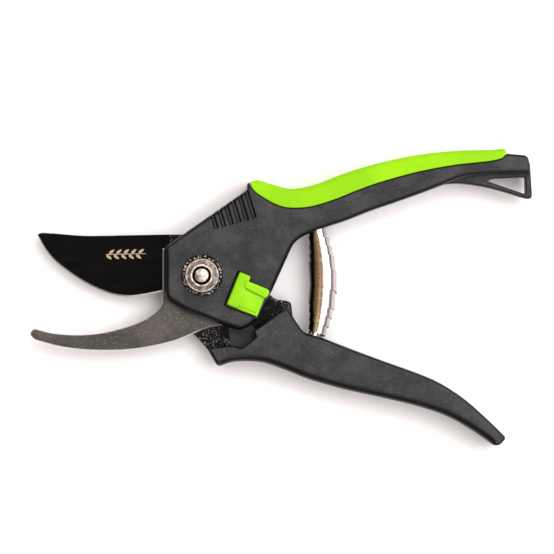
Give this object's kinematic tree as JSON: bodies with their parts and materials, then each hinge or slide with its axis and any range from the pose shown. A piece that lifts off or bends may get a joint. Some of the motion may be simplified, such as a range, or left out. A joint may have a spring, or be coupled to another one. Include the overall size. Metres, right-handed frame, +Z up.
{
  "type": "pruning shears",
  "caption": "Bypass pruning shears: coated curved blade, fixed hook, ribbed head, soft-grip handles, barrel spring, sliding catch and hanging loop",
  "frame": {"origin": "where the pivot axis meets the plane the tool lies on, at the middle of the pivot bolt's flat head", "axes": "Z up out of the front of the head along the pivot, X from the blade tip towards the handles, Y towards the thumb handle"},
  "size_m": [0.2104, 0.1242, 0.0229],
  "materials": {
    "blade_coating": "gloss black non-stick coating on steel",
    "hook_steel": "satin sand-textured grey steel",
    "handle_plastic": "fine-grained black moulded nylon",
    "lime_grip": "soft lime green grip skin",
    "lime_plastic": "lime green moulded plastic",
    "bright_steel": "bright plated steel",
    "black_steel": "blackened steel",
    "spring_steel": "bright rolled spring strip"
  },
  "bodies": {
    "hook_side": {"hook": "hook_steel", "upper_handle": "handle_plastic", "upper_grip": "lime_grip", "pivot_bolt": "bright_steel", "back_washer": "bright_steel", "pivot_nut": "bright_steel", "lock_ring": "black_steel", "catch_spring": "spring_steel", "main_spring": "spring_steel"},
    "blade_side": {"blade": "blade_coating", "lower_handle": "handle_plastic"},
    "catch": {"catch_slider": "lime_plastic"}
  },
  "joints": [
    {"name": "handle_hinge", "type": "hinge", "parent": "hook_side", "child": "blade_side", "pos_m": [0, 0, 0.0085], "axis": [0, 0, 1], "range_deg": [0, 31], "stiffness_Nm_per_rad": 1, "springref_deg": -17.19, "deforming": ["main_spring"]},
    {"name": "catch_slide", "type": "slide", "parent": "hook_side", "child": "catch", "axis": [0.9272, -0.3746, 0], "range_m": [0, 0.0055]}
  ]
}
